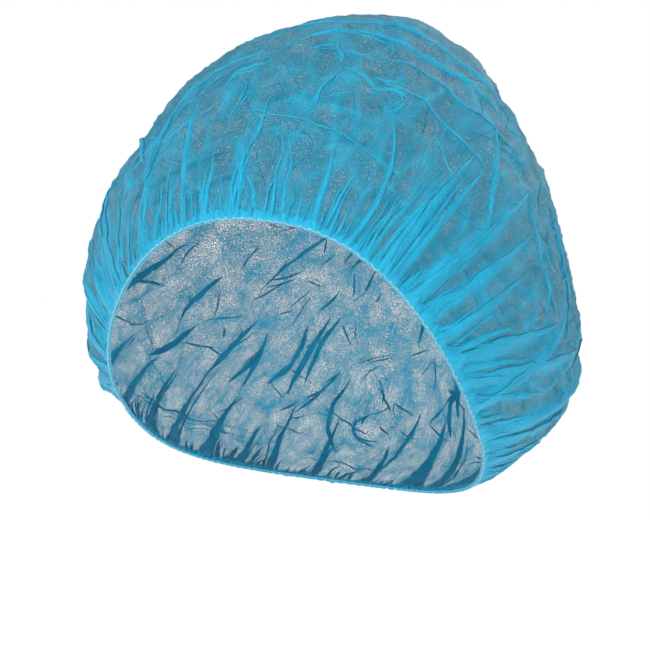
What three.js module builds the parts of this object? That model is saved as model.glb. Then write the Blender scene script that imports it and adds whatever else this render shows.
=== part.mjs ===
// A disposable bouffant cap: a thin non-woven disc gathered on an elastic edge, in the
// form that it has when it is worn.
// Millimetres, +Z up, the forehead's side towards -Y, the wearer's left towards +X.
// The origin is the middle of the opening that the elastic goes round.
import * as THREE from "three";

// The opening's edge: half its width from ear to ear, half its depth from forehead to
// nape, and how high the edge lies above the origin at the forehead, ears and nape.
const OPENING = { halfWidth: 79, halfDepth: 77, foreheadZ: 52.5, earZ: -23.5, napeZ: -52.5 };
const OPENING_SQUARENESS = { side: 0.85, front: 0.92 };

// The puffed-out bag: where its middle lies and how far it reaches from there each way.
const BAG = {
  behind: 37, above: 18.5, halfWidth: 103, frontDepth: 121, backDepth: 101, topHeight: 130, bottomHeight: 81,
};
const BAG_POWER = { round: 1.92, top: 1.9, bottom: 2.2 };
const TUCK_POWER = 8;

// The disc's centre, where all the gathers run to, seen from the bag's middle.
const APEX_TILT = THREE.MathUtils.degToRad(57);

const WALL = 1.2;
const CLEARANCE = 0.3;
const HEM = { height: 5, proud: 0.7, gather: 0.4 };
const ELASTIC_DIAMETER = 1.0;
const ELASTIC_SIDES = 6;

// A pleat's ridge stands this proud at the hem, and the cloth puffs out between two.
const PLEAT = { halfWidth: 2.2, height: 1.9, puff: 2 };
const ROWS = 16;

// The pleats that show, from the wearer's right temple round to the left ear. at is the
// angle at the hem and lean the turn over the pleat's length, in degrees. length is a
// share of the way to the apex, and height a share of the ridge.
const SHOWN_PLEATS = [
  { at: -37, lean: 5, length: 0.28, height: 0.8 },
  { at: -24, lean: 2, length: 0.24, height: 1.0 },
  { at: -8, lean: 4, length: 0.24, height: 1.0 },
  { at: 1, lean: -1, length: 0.16, height: 0.7 },
  { at: 11, lean: -1, length: 0.18, height: 0.9 },
  { at: 20.5, lean: -5, length: 0.28, height: 0.9 },
  { at: 32, lean: 3, length: 0.3, height: 1.1 },
  { at: 43, lean: 4, length: 0.32, height: 1.1 },
  { at: 54.5, lean: 3, length: 0.3, height: 1.0 },
];

// The other pleats go round the back at even steps, with lengths that take turns.
const BACK_PLEATS = { from: 66, to: 312, count: 22 };
const BACK_LENGTHS = [0.3, 0.2, 0.36, 0.24, 0.32];

// Wide bulges and dents. at and spread are degrees round the hem, share and reach are
// shares of the way to the apex, and rise is a share of BILLOW_RISE.
const BILLOW_RISE = 5;
const BILLOWS = [
  { at: 92, share: 0.3, spread: 16, reach: 0.14, rise: 1.0 },
  { at: 65, share: 0.48, spread: 12, reach: 0.14, rise: -0.4 },
  { at: 47, share: 0.54, spread: 12, reach: 0.14, rise: -0.5 },
  { at: 20, share: 0.56, spread: 14, reach: 0.12, rise: 0.5 },
  { at: -12, share: 0.5, spread: 12, reach: 0.14, rise: -0.7 },
  { at: -62, share: 0.22, spread: 14, reach: 0.12, rise: 0.5 },
  { at: -92, share: 0.1, spread: 12, reach: 0.1, rise: 0.9 },
  { at: 135, share: 0.24, spread: 18, reach: 0.16, rise: 0.5 },
  { at: 180, share: 0.4, spread: 20, reach: 0.2, rise: -0.5 },
  { at: 222, share: 0.28, spread: 18, reach: 0.16, rise: 0.7 },
];

const FABRIC = new THREE.MeshStandardMaterial({ color: 0x2fa3d8, roughness: 0.85, metalness: 0 });
const HEM_FABRIC = new THREE.MeshStandardMaterial({ color: 0x1f93cf, roughness: 0.85, metalness: 0 });
const RUBBER = new THREE.MeshStandardMaterial({ color: 0xdfeae6, roughness: 0.7, metalness: 0 });

const bagMiddle = new THREE.Vector3(0, BAG.behind, BAG.above);
const apexDirection = new THREE.Vector3(0, Math.sin(APEX_TILT), Math.cos(APEX_TILT));

const signedPower = (value, power) => Math.sign(value) * Math.abs(value) ** power;

// The opening's edge at an angle: 0 is the forehead, 90 degrees the wearer's left ear.
function openingEdge(angle) {
  const middleZ = (OPENING.foreheadZ + OPENING.napeZ) / 2;
  const slope = (OPENING.foreheadZ - OPENING.napeZ) / 2;
  const sag = (middleZ - OPENING.earZ) / 2;
  return new THREE.Vector3(
    OPENING.halfWidth * signedPower(Math.sin(angle), OPENING_SQUARENESS.side),
    -OPENING.halfDepth * signedPower(Math.cos(angle), OPENING_SQUARENESS.front),
    middleZ - sag + slope * Math.cos(angle) + sag * Math.cos(2 * angle),
  );
}

// How far the bag reaches from its middle in a direction: an egg with unlike half-axes.
function bagReach(direction) {
  const depth = direction.y < 0 ? BAG.frontDepth : BAG.backDepth;
  const height = direction.z > 0 ? BAG.topHeight : BAG.bottomHeight;
  const power = direction.z > 0 ? BAG_POWER.top : BAG_POWER.bottom;
  const level = Math.abs(direction.x / BAG.halfWidth) ** BAG_POWER.round
    + Math.abs(direction.y / depth) ** BAG_POWER.round;
  const sum = level ** (power / BAG_POWER.round) + Math.abs(direction.z / height) ** power;
  return sum ** (-1 / power);
}

function billowRise(angle, share) {
  let rise = 0;
  for (const billow of BILLOWS) {
    const turn = THREE.MathUtils.euclideanModulo(
      THREE.MathUtils.radToDeg(angle) - billow.at + 180, 360) - 180;
    const away = (turn / billow.spread) ** 2 + ((share - billow.share) / billow.reach) ** 2;
    rise += billow.rise * BILLOW_RISE * Math.exp(-away);
  }
  return rise;
}

// The cloth's outer surface: share runs from 0 at the opening's edge to 1 at the apex.
function clothPoint(angle, share) {
  const edge = openingEdge(angle).sub(bagMiddle);
  const edgeReach = edge.length();
  const edgeDirection = edge.clone().normalize();
  const sweep = Math.acos(THREE.MathUtils.clamp(edgeDirection.dot(apexDirection), -1, 1));
  const away = (1 - share) * sweep;
  const sideways = edgeDirection.clone()
    .addScaledVector(apexDirection, -edgeDirection.dot(apexDirection)).normalize();
  const direction = apexDirection.clone().multiplyScalar(Math.cos(away))
    .addScaledVector(sideways, Math.sin(away));
  const tuck = (bagReach(edgeDirection) - edgeReach) * (1 - share) ** TUCK_POWER;
  const fade = Math.min(1, Math.max(0, share) * 12);
  const reach = bagReach(direction) - tuck + fade * billowRise(angle, share);
  return direction.multiplyScalar(reach).add(bagMiddle);
}

// Millimetres of cloth for a whole share, along the meridian next to the hem.
function clothPerShare(angle) {
  const step = 0.01;
  return clothPoint(angle, step).distanceTo(clothPoint(angle, 0)) / step;
}

// A point of the cloth moved out from its surface, or in where proud is negative.
function clothOffset(angle, share, proud) {
  const turn = 0.004;
  const step = 0.004;
  const around = clothPoint(angle + turn, share).sub(clothPoint(angle - turn, share));
  const along = clothPoint(angle, share + step).sub(clothPoint(angle, share - step));
  return clothPoint(angle, share).addScaledVector(around.cross(along).normalize(), proud);
}

function backPleats() {
  const pleats = [];
  const step = (BACK_PLEATS.to - BACK_PLEATS.from) / (BACK_PLEATS.count - 1);
  for (let index = 0; index < BACK_PLEATS.count; index += 1) {
    const length = BACK_LENGTHS[index % BACK_LENGTHS.length];
    pleats.push({ at: BACK_PLEATS.from + index * step, lean: 0, length, height: 0.6 + length });
  }
  return pleats;
}

// Each pleat has four lines of points up the cloth: its two feet, its crest between
// them, and the puffed cloth halfway to the next pleat.
function clothLines() {
  const pleats = [...SHOWN_PLEATS, ...backPleats()];
  const lines = [];
  pleats.forEach((pleat, index) => {
    const next = pleats[(index + 1) % pleats.length];
    const nextAt = next.at > pleat.at ? next.at : next.at + 360;
    const angle = THREE.MathUtils.degToRad(pleat.at);
    const hemSpeed = openingEdge(angle + 0.05).distanceTo(openingEdge(angle - 0.05)) / 0.1;
    const foot = THREE.MathUtils.radToDeg(PLEAT.halfWidth / hemSpeed);
    const crest = PLEAT.height * pleat.height;
    lines.push({ ...pleat, at: pleat.at - foot, ridge: 0, puff: 0 });
    lines.push({ ...pleat, ridge: crest, puff: 0 });
    lines.push({ ...pleat, at: pleat.at + foot, ridge: 0, puff: 0 });
    lines.push({
      at: (pleat.at + nextAt) / 2,
      lean: (pleat.lean + next.lean) / 2,
      length: (pleat.length + next.length) / 2,
      ridge: 0,
      puff: PLEAT.puff,
    });
  });
  return lines;
}

// The angle, ridge and puff of a line of points at a share of the way to the apex.
function lineAt(line, share) {
  const run = THREE.MathUtils.clamp(share / line.length, 0, 1);
  return {
    angle: THREE.MathUtils.degToRad(line.at + line.lean * run),
    ridge: line.ridge * (1 - run) * (1 + run),
    puff: line.puff * Math.sin(Math.PI * Math.min(1, share / (2 * line.length))),
  };
}

// One closed body from loops of points, each joined to the next. With a start and an end
// point the loops close on those, and without them the last loop joins the first.
function solidOfLoops(loops, startPoint, endPoint) {
  const count = loops[0].length;
  const points = loops.flat();
  const triangles = [];
  const corner = (loop, index) => (loop % loops.length) * count + (index % count);
  const bands = startPoint ? loops.length - 1 : loops.length;
  for (let loop = 0; loop < bands; loop += 1) {
    for (let index = 0; index < count; index += 1) {
      const a = corner(loop, index);
      const b = corner(loop, index + 1);
      const c = corner(loop + 1, index + 1);
      const d = corner(loop + 1, index);
      triangles.push(a, b, c, a, c, d);
    }
  }
  if (startPoint) {
    const start = points.push(startPoint) - 1;
    const end = points.push(endPoint) - 1;
    for (let index = 0; index < count; index += 1) {
      triangles.push(start, corner(0, index + 1), corner(0, index));
      triangles.push(end, corner(loops.length - 1, index), corner(loops.length - 1, index + 1));
    }
  }
  const geometry = new THREE.BufferGeometry().setFromPoints(points);
  geometry.setIndex(triangles);
  geometry.computeVertexNormals();
  return geometry;
}

// The crown: the thin hollow wall, from just above the hem to the apex.
function crownGeometry(lines) {
  const hemTop = HEM.height + CLEARANCE;
  const loop = (row, inner) => lines.map((line) => {
    const first = hemTop / clothPerShare(THREE.MathUtils.degToRad(line.at));
    const share = first + (1 - first) * (row / ROWS) ** 1.1;
    const { angle, ridge, puff } = lineAt(line, share);
    return clothOffset(angle, share, inner ? puff - WALL : puff + ridge);
  });
  const outer = [];
  const inner = [];
  for (let row = 0; row < ROWS; row += 1) {
    outer.push(loop(row, false));
    inner.push(loop(row, true));
  }
  const apex = clothPoint(0, 1);
  const innerApex = apex.clone().addScaledVector(apexDirection, -WALL);
  return solidOfLoops([...inner.reverse(), ...outer], innerApex, apex);
}

// A ring round the opening. section lists its corners, each a distance up the cloth from
// the opening's edge and a distance proud of the cloth.
function ringGeometry(lines, section) {
  const loops = section.map(({ up, proud, gather }) => lines.map((line) => {
    const angle = THREE.MathUtils.degToRad(line.at);
    const wave = line.puff > 0 ? -HEM.gather : HEM.gather * Math.sign(line.ridge);
    return clothOffset(angle, up / clothPerShare(angle), proud + gather * wave);
  }));
  return solidOfLoops(loops);
}

// The hem: the turned-in edge, thicker than the cloth and gathered by the elastic.
function hemGeometry(lines) {
  const outer = HEM.proud;
  const inner = -WALL - HEM.proud;
  return ringGeometry(lines, [
    { up: 0, proud: inner + HEM.proud, gather: 0 },
    { up: 0, proud: outer - HEM.proud, gather: 0 },
    { up: HEM.height * 0.3, proud: outer, gather: 1 },
    { up: HEM.height * 0.7, proud: outer, gather: 1 },
    { up: HEM.height, proud: outer - HEM.proud, gather: 0 },
    { up: HEM.height, proud: inner + HEM.proud, gather: 0 },
    { up: HEM.height / 2, proud: inner, gather: 0 },
  ]);
}

// The elastic: a thin cord overlocked along the hem's lower edge.
function elasticGeometry(lines) {
  const radius = ELASTIC_DIAMETER / 2;
  const section = [];
  for (let side = 0; side < ELASTIC_SIDES; side += 1) {
    const turn = (side / ELASTIC_SIDES) * 2 * Math.PI;
    section.push({
      up: -radius - CLEARANCE - radius * Math.cos(turn),
      proud: -WALL / 2 + radius * Math.sin(turn),
      gather: 0,
    });
  }
  return ringGeometry(lines, section);
}

function namedMesh(name, geometry, material) {
  const mesh = new THREE.Mesh(geometry, material);
  mesh.name = name;
  return mesh;
}

const lines = clothLines();
const cap = new THREE.Group();
cap.add(
  namedMesh("crown", crownGeometry(lines), FABRIC),
  namedMesh("hem", hemGeometry(lines), HEM_FABRIC),
  namedMesh("elastic", elasticGeometry(lines), RUBBER),
);

export default cap;
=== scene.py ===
# %% [markdown]
# # A disposable bouffant cap
# A bouffant cap is one disc of very thin non-woven cloth. Its edge is turned in, gathered
# and overlocked onto a thin elastic, and the disc's slack runs up from there in pleats.
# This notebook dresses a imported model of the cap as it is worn. The model already fixes the
# sizes, so each piece made here follows the same bag and the same opening.

import math

import bpy
import numpy as np
from mathutils import Matrix, Vector, noise


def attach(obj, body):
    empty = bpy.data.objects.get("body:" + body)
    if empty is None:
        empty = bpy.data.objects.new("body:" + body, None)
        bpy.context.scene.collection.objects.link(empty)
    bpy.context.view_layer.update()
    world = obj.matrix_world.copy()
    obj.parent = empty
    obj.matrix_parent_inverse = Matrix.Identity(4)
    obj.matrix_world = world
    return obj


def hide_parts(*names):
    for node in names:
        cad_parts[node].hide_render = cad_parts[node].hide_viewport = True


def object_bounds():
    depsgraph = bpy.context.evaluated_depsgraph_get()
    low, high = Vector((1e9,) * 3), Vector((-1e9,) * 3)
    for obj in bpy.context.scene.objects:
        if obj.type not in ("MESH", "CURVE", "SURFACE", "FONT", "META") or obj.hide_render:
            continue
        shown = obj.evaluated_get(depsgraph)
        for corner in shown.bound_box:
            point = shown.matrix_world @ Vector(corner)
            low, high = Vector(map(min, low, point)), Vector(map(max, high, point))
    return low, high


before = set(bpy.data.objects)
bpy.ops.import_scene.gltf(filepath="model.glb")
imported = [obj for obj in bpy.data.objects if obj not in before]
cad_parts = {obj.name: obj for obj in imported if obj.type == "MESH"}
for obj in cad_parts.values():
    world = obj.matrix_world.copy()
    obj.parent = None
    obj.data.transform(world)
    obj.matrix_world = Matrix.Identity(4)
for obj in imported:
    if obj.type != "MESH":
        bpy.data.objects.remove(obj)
cad_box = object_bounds()
MM = 0.001
print("nodes", sorted(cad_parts), "box", cad_box)

# %% [markdown]
# ## The camera
# The photograph was taken level with the cap, a little to one side of its front, and the
# cap leans in it. A long lens from a metre and a half gives the same small perspective.
# The camera's axes are worked out first, and a matrix of those axes and the place sets
# the camera at once.

# %% Camera
VIEW_AZIMUTH = math.radians(16)
VIEW_ROLL = math.radians(7)
VIEW_DISTANCE = 1.5
PICTURE_WIDTH = 0.2708
AIM = Vector((6.0, 7.0, 14.5)) * MM

back = Vector((math.sin(VIEW_AZIMUTH), -math.cos(VIEW_AZIMUTH), 0))
level = Vector((math.cos(VIEW_AZIMUTH), math.sin(VIEW_AZIMUTH), 0))
rise = back.cross(level)
right = level * math.cos(VIEW_ROLL) + rise * math.sin(VIEW_ROLL)
up = rise * math.cos(VIEW_ROLL) - level * math.sin(VIEW_ROLL)

lens = bpy.data.cameras.new("camera")
lens.lens = lens.sensor_width / PICTURE_WIDTH * VIEW_DISTANCE
camera = bpy.data.objects.new("camera", lens)
place = Matrix((right, up, back)).transposed().to_4x4()
place.translation = AIM + back * VIEW_DISTANCE
camera.matrix_world = place
bpy.context.scene.collection.objects.link(camera)
bpy.context.scene.camera = camera
print("camera", round(lens.lens), "mm lens at", [round(value, 2) for value in place.translation])

# %% [markdown]
# ## The form of the bag
# The cloth is described by two numbers: an angle round the opening, 0 at the front and 90
# degrees at the side towards +X, and a share of the way from the edge to the disc's
# centre. A function turns them into a point. Numpy works on whole arrays of points at
# once, so a sheet of 100 000 points takes no longer to write than one point.

# %% Sizes of the opening and the bag
OPENING = {"half_width": 79, "half_depth": 77, "front_z": 52.5, "side_z": -23.5, "back_z": -52.5}
SQUARENESS = {"side": 0.85, "front": 0.92}
BAG = {"side": 103, "front": 121, "back": 101, "top": 130, "bottom": 81}
BAG_MIDDLE = np.array([0, 37, 18.5])
BAG_POWER = {"round": 1.92, "top": 1.9, "bottom": 2.2}
TUCK_POWER = 8
APEX_TILT = math.radians(57)
APEX = np.array([0, math.sin(APEX_TILT), math.cos(APEX_TILT)])

# Wide bulges and dents: degrees and share of the middle, spread in both, and rise in mm.
BILLOWS = [
    (92, 0.30, 16, 0.14, 5.0),
    (65, 0.48, 12, 0.14, -2.0),
    (47, 0.54, 12, 0.14, -2.5),
    (20, 0.56, 14, 0.12, 2.5),
    (-12, 0.50, 12, 0.14, -3.5),
    (-62, 0.22, 14, 0.12, 2.5),
    (-92, 0.10, 12, 0.10, 4.0),
    (135, 0.24, 18, 0.16, 2.5),
    (180, 0.40, 20, 0.20, -2.5),
    (222, 0.28, 18, 0.16, 3.5),
]
print("opening", 2 * OPENING["half_width"], "by", 2 * OPENING["half_depth"], "mm,", len(BILLOWS), "billows")

# %% [markdown]
# The edge is a closed curve, high at the front, low at the back and dipping at the sides.
# The bag has its own reach in every direction. Each meridian starts on the edge, swells
# quickly to the bag's reach, and runs to the apex, which lies towards the back.

# %% From an angle and a share to a point


def signed_power(value, power):
    return np.sign(value) * np.abs(value) ** power


def opening_edge(angle):
    middle = (OPENING["front_z"] + OPENING["back_z"]) / 2
    slope = (OPENING["front_z"] - OPENING["back_z"]) / 2
    sag = (middle - OPENING["side_z"]) / 2
    x = OPENING["half_width"] * signed_power(np.sin(angle), SQUARENESS["side"])
    y = -OPENING["half_depth"] * signed_power(np.cos(angle), SQUARENESS["front"])
    z = middle - sag + slope * np.cos(angle) + sag * np.cos(2 * angle)
    return np.stack([x, y, z], -1)


def bag_reach(direction):
    x, y, z = np.moveaxis(direction, -1, 0)
    depth = np.where(y < 0, BAG["front"], BAG["back"])
    height = np.where(z > 0, BAG["top"], BAG["bottom"])
    power = np.where(z > 0, BAG_POWER["top"], BAG_POWER["bottom"])
    around = np.abs(x / BAG["side"]) ** BAG_POWER["round"] + np.abs(y / depth) ** BAG_POWER["round"]
    total = around ** (power / BAG_POWER["round"]) + np.abs(z / height) ** power
    return total ** (-1 / power)


def turn_between(degrees, middle):
    return (degrees - middle + 180) % 360 - 180


def billow(angle, share):
    rise_mm = np.zeros_like(share)
    degrees = np.degrees(angle)
    for at, middle, spread, reach, height in BILLOWS:
        away = (turn_between(degrees, at) / spread) ** 2 + ((share - middle) / reach) ** 2
        rise_mm += height * np.exp(-away)
    return rise_mm * np.clip(share * 12, 0, 1)


def smooth_point(angle, share):
    """The bag without its folds, in millimetres."""
    angle, share = np.broadcast_arrays(np.asarray(angle, float), np.asarray(share, float))
    edge = opening_edge(angle) - BAG_MIDDLE
    edge_reach = np.linalg.norm(edge, axis=-1)
    direction = edge / edge_reach[..., None]
    cosine = np.clip(direction @ APEX, -1, 1)
    sideways = direction - APEX * cosine[..., None]
    sideways /= np.linalg.norm(sideways, axis=-1)[..., None]
    away = (1 - share) * np.arccos(cosine)
    pointing = np.cos(away)[..., None] * APEX + np.sin(away)[..., None] * sideways
    tuck = (bag_reach(direction) - edge_reach) * (1 - share) ** TUCK_POWER
    reach = bag_reach(pointing) - tuck + billow(angle, share)
    return BAG_MIDDLE + pointing * reach[..., None]


def slopes(angle, share):
    """The smooth bag's steps per radian and per share, and its outward normal."""
    step = 0.004
    around = (smooth_point(angle + step, share) - smooth_point(angle - step, share)) / (2 * step)
    along = (smooth_point(angle, share + step) - smooth_point(angle, share - step)) / (2 * step)
    normal = np.cross(around, along)
    normal /= np.maximum(np.linalg.norm(normal, axis=-1), 1e-9)[..., None]
    return around, along, normal


# %% [markdown]
# A share of a meridian has to be turned into millimetres of cloth again and again, so the
# meridians are measured once.

# %% Lengths of the meridians
ring_angles = np.radians(np.arange(0, 361, 5))
ladder = np.linspace(0, 1, 61)
meridians = smooth_point(ring_angles[:, None], ladder[None, :])
MERIDIAN_LENGTHS = np.linalg.norm(np.diff(meridians, axis=1), axis=-1).sum(1)


def meridian_length(angle):
    return np.interp(np.degrees(angle) % 360, np.degrees(ring_angles), MERIDIAN_LENGTHS)


print("cloth from edge to apex, mm:", MERIDIAN_LENGTHS.min().round(), MERIDIAN_LENGTHS.max().round())

# %% [markdown]
# ## The pleats
# Where the disc's edge is gathered, its slack lies over itself in tapering pleats, three
# layers thick. Those of the front are placed one by one. The others follow the same rule
# with a fixed seed. Each pleat is a row: where it starts at the hem, how it turns on its
# way, its length as a share of the way to the apex, its width, and the side it falls to.

# %% Pleats from the hem
# Degrees at the hem, turn, bend, length as a share, width in mm, side.
FRONT_PLEATS = [
    (-52, 8, 0, 0.22, 3.0, -1),
    (-46, 9, 0, 0.16, 2.4, -1),
    (-40, 11, 0, 0.30, 3.2, -1),
    (-33.5, 5, 0, 0.10, 2.0, 1),
    (-29, 4, 0, 0.14, 1.8, -1),
    (-22, -0.5, 0, 0.27, 3.4, 1),
    (-15.5, -2, 0, 0.08, 2.0, 1),
    (-12.5, 1, 0, 0.05, 1.4, -1),
    (-8, 5, 0, 0.23, 3.0, -1),
    (-5, 1, 0, 0.05, 1.6, 1),
    (-1.2, -3.5, 0, 0.07, 2.8, 1),
    (1, -1.5, 0, 0.17, 1.8, -1),
    (3, -1.5, 0, 0.13, 1.6, 1),
    (7, -1, 0, 0.05, 1.6, -1),
    (11, -2, 0, 0.19, 2.2, 1),
    (13.8, 2, 0, 0.13, 1.8, -1),
    (17.5, 1, 0, 0.06, 1.8, 1),
    (21, 13, -21, 0.28, 2.4, -1),
    (24.4, 5, 0, 0.16, 2.2, 1),
    (27, 5, 0, 0.22, 2.6, 1),
    (29.7, 4, 0, 0.20, 2.4, -1),
    (33, 3, 0, 0.30, 6.6, 1),
    (36.6, 2.5, 0, 0.28, 5.0, -1),
    (40, 1, 0, 0.06, 3.0, 1),
    (43.4, 7.5, 0, 0.36, 9.0, -1),
    (46.8, 6, 0, 0.12, 3.4, 1),
    (50, 6.5, 0, 0.33, 7.0, 1),
    (53.5, 5, 0, 0.08, 3.0, -1),
    (56.5, 3, 0, 0.24, 6.4, 1),
    (60, 6, 0, 0.10, 3.6, -1),
    (63.5, 10, 0, 0.26, 9.0, 1),
    (67, 10, 0, 0.12, 4.4, -1),
    (70.5, 12, 0, 0.30, 9.0, 1),
    (75, 9, 0, 0.16, 6.0, -1),
]
BACK_START, BACK_END, BACK_COUNT = 79.5, 305.0, 58

dice = np.random.default_rng(11)
pleats = list(FRONT_PLEATS)
for index in range(BACK_COUNT):
    at = BACK_START + (index + dice.uniform(-0.3, 0.3)) * (BACK_END - BACK_START) / (BACK_COUNT - 1)
    long_one = index % 3 == 0
    length = dice.uniform(0.24, 0.42) if long_one else dice.uniform(0.07, 0.2)
    width = dice.uniform(3.6, 6.4) if long_one else dice.uniform(1.8, 4.0)
    width *= 1.6 if at < 112 or at > 262 else 1.15
    turn = dice.uniform(-5, 5) * length / 0.3
    pleats.append((at, turn, 0, length, width, dice.choice([-1, 1])))
main_pleats = list(pleats)

# %% [markdown]
# A real pleat is seldom alone: narrower ones lie on its root and leave it at small angles.
# Between the pleats the edge is full of short gathers, a finger's width long.

# %% Lesser pleats and short gathers
HEM_MM_PER_DEGREE = 1.56
GATHER_COUNT = 190
lesser = []
for at, turn, bend, length, width, side in main_pleats:
    for share_of in (0.85, 0.62, 0.4) if 2.8 < width < 6 else (0.6,):
        shift = dice.uniform(-0.8, 0.8) * width / HEM_MM_PER_DEGREE
        lean = turn * share_of + dice.uniform(-2.5, 2.5) * share_of
        reach = length * share_of * dice.uniform(0.75, 1.2)
        lesser.append((at + shift, lean, bend * share_of**2, reach, width * dice.uniform(0.25, 0.55), -side))
for index in range(GATHER_COUNT):
    at = -55 + 360 * (index + dice.uniform(0, 1)) / GATHER_COUNT
    reach = dice.uniform(0.02, 0.055) if dice.uniform() < 0.6 else dice.uniform(0.055, 0.15)
    lesser.append((at, dice.uniform(-14, 14) * reach, 0, reach, dice.uniform(0.9, 2.0), dice.choice([-1, 1])))
pleats = main_pleats + lesser
PLEAT_AT, PLEAT_TURN, PLEAT_BEND, PLEAT_LENGTH, PLEAT_WIDTH, PLEAT_SIDE = np.array(pleats).T
print(len(pleats), "pleats")

# %% [markdown]
# Higher up the cloth has been crushed in its packet, so it carries long soft tucks that
# run over the crown and small stars of creases. They are drawn as lines too, through a few
# knots of angle and share, because a line is all that a fold needs: its width and its
# height are added later.

# %% Tucks over the crown
# Width in mm, side, and the knots, each an angle in degrees and a share.
CROWN_TUCKS = [
    (2.6, 1, [(-36.5, 0.12), (-34, 0.21), (-30, 0.29), (-21.5, 0.33), (-9, 0.335)]),
    (2.0, -1, [(-30, 0.22), (-23.5, 0.28), (-11.5, 0.31), (-3, 0.32)]),
    (1.8, 1, [(4.5, 0.29), (3.5, 0.26), (2.5, 0.23), (3, 0.19)]),
    (1.6, -1, [(4.5, 0.29), (2, 0.33), (1, 0.37)]),
    (1.8, 1, [(4.5, 0.29), (9.5, 0.285), (13, 0.27)]),
    (2.0, 1, [(10.5, 0.265), (14.5, 0.29), (18.5, 0.28)]),
    (1.5, -1, [(18.5, 0.28), (18, 0.255), (17.2, 0.235)]),
    (3.0, 1, [(-6, 0.36), (1.5, 0.39), (8.5, 0.41), (23, 0.42), (36, 0.44), (46, 0.45)]),
    (2.6, -1, [(9.5, 0.35), (21.5, 0.37), (28, 0.36), (38, 0.385), (45, 0.40)]),
    (3.0, 1, [(36.5, 0.40), (40, 0.34), (43, 0.27), (47, 0.19)]),
    (2.2, -1, [(9.5, 0.30), (23.5, 0.295), (34.5, 0.29), (42, 0.28)]),
    (3.4, 1, [(-8, 0.42), (6, 0.455), (18.5, 0.48), (31, 0.47), (44, 0.50)]),
    (2.0, 1, [(50, 0.36), (57, 0.31), (66, 0.27), (72, 0.22)]),
    (2.4, -1, [(56, 0.42), (64, 0.40), (73, 0.33), (78, 0.26)]),
    (1.8, 1, [(-17, 0.24), (-14, 0.28), (-7, 0.30)]),
    (1.5, -1, [(-12, 0.16), (-10, 0.22), (-11, 0.27)]),
]
CROWN_COUNT = 34
for index in range(CROWN_COUNT):
    start = 75 + 245 * (index + dice.uniform(0, 0.9)) / CROWN_COUNT
    low = dice.uniform(0.26, 0.62)
    drift = dice.uniform(-22, 22) * low
    climb = dice.uniform(0.1, 0.28) * dice.choice([-1, 1])
    bow = dice.uniform(-5, 5)
    knots = [(start + drift * k + bow * math.sin(math.pi * k), low + climb * k) for k in (0, 0.35, 0.7, 1)]
    CROWN_TUCKS.append((dice.uniform(1.6, 3.2), dice.choice([-1, 1]), knots))
print(len(CROWN_TUCKS), "crown tucks")

# %% [markdown]
# ## How far the cloth stands off the bag
# One function gives the relief of every point, so the sheet, the pleats and the hem all
# agree. Near a pleat the cloth is drawn in and between two it puffs out. Finer wrinkles
# come from noise that is stretched along the meridians, folded at zero so that each one
# has a sharp crest, and a crumple of flat facets comes from the borders of random cells.

# %% Heights and reaches of the relief, in millimetres
PUFF, PUFF_REACH = 1.2, 90
VALLEY, CREST = 1.6, 0.9
GATHER, GATHER_REACH, GATHERS_AROUND = 0.55, 9, 118
CRUSH_START, CELL_SIZE = 25, 20
TUCK_RIDGE, TUCK_HOLLOW, HOLLOW_REACH = 0.45, 0.30, 7
print("crushed cloth from", CRUSH_START, "mm above the edge, in cells of", CELL_SIZE, "mm")

# %% Noise on the cloth


def noise_values(points):
    values = [noise.noise(Vector(point)) for point in points.reshape(-1, 3)]
    return np.array(values).reshape(points.shape[:-1])


def cells(points):
    """Distance to the nearest cell's middle, and to the border with the next one."""
    near = np.array([noise.voronoi(Vector(point))[0][:2] for point in points.reshape(-1, 3)])
    shape = points.shape[:-1]
    return near[:, 0].reshape(shape), (near[:, 1] - near[:, 0]).reshape(shape)


def wrapped(angle, share, around, along):
    """A place for noise to be read, with no seam where the angle starts again."""
    return np.stack([np.cos(angle) * around, np.sin(angle) * around, share * along], -1)


# %% [markdown]
# A pleat is a low crest in a wider valley. Both grow with the pleat's width and fade out
# along its length. Where pleats meet, the strongest one counts.

# %% Relief of the pleats


def pleat_angles(share):
    """Each pleat's middle in degrees, at each share: one column for each pleat."""
    run = np.clip(share[..., None] / PLEAT_LENGTH, 0, 1)
    return PLEAT_AT + PLEAT_TURN * run + PLEAT_BEND * run**2


def pleat_relief(angle, share):
    around, _, _ = slopes(angle, share)
    mm_per_degree = np.linalg.norm(around, axis=-1) * math.pi / 180
    away = turn_between(np.degrees(angle)[..., None], pleat_angles(share)) * mm_per_degree[..., None]
    run = np.clip(share[..., None] / PLEAT_LENGTH, 0, 1.3)
    strength = PLEAT_WIDTH / 5 * np.clip(1 - run / 1.3, 0, 1)
    valley = (strength * np.exp(-((away / (1.6 * PLEAT_WIDTH + 1)) ** 2))).max(-1)
    crest = (strength * np.exp(-((away / (0.5 * PLEAT_WIDTH + 0.4)) ** 2))).max(-1)
    rise_mm = np.clip(crest, 0, 1.4) * CREST - np.clip(valley, 0, 1.4) * VALLEY
    return rise_mm, np.clip(crest * 1.5, 0, 1)


# %% [markdown]
# A tuck's knots become an even line of points that wanders a little, because no crease in
# soft cloth is straight. Its relief is a sharp ridge in a shallow hollow, read from the
# distance to the line.

# %% Relief of the tucks


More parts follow.
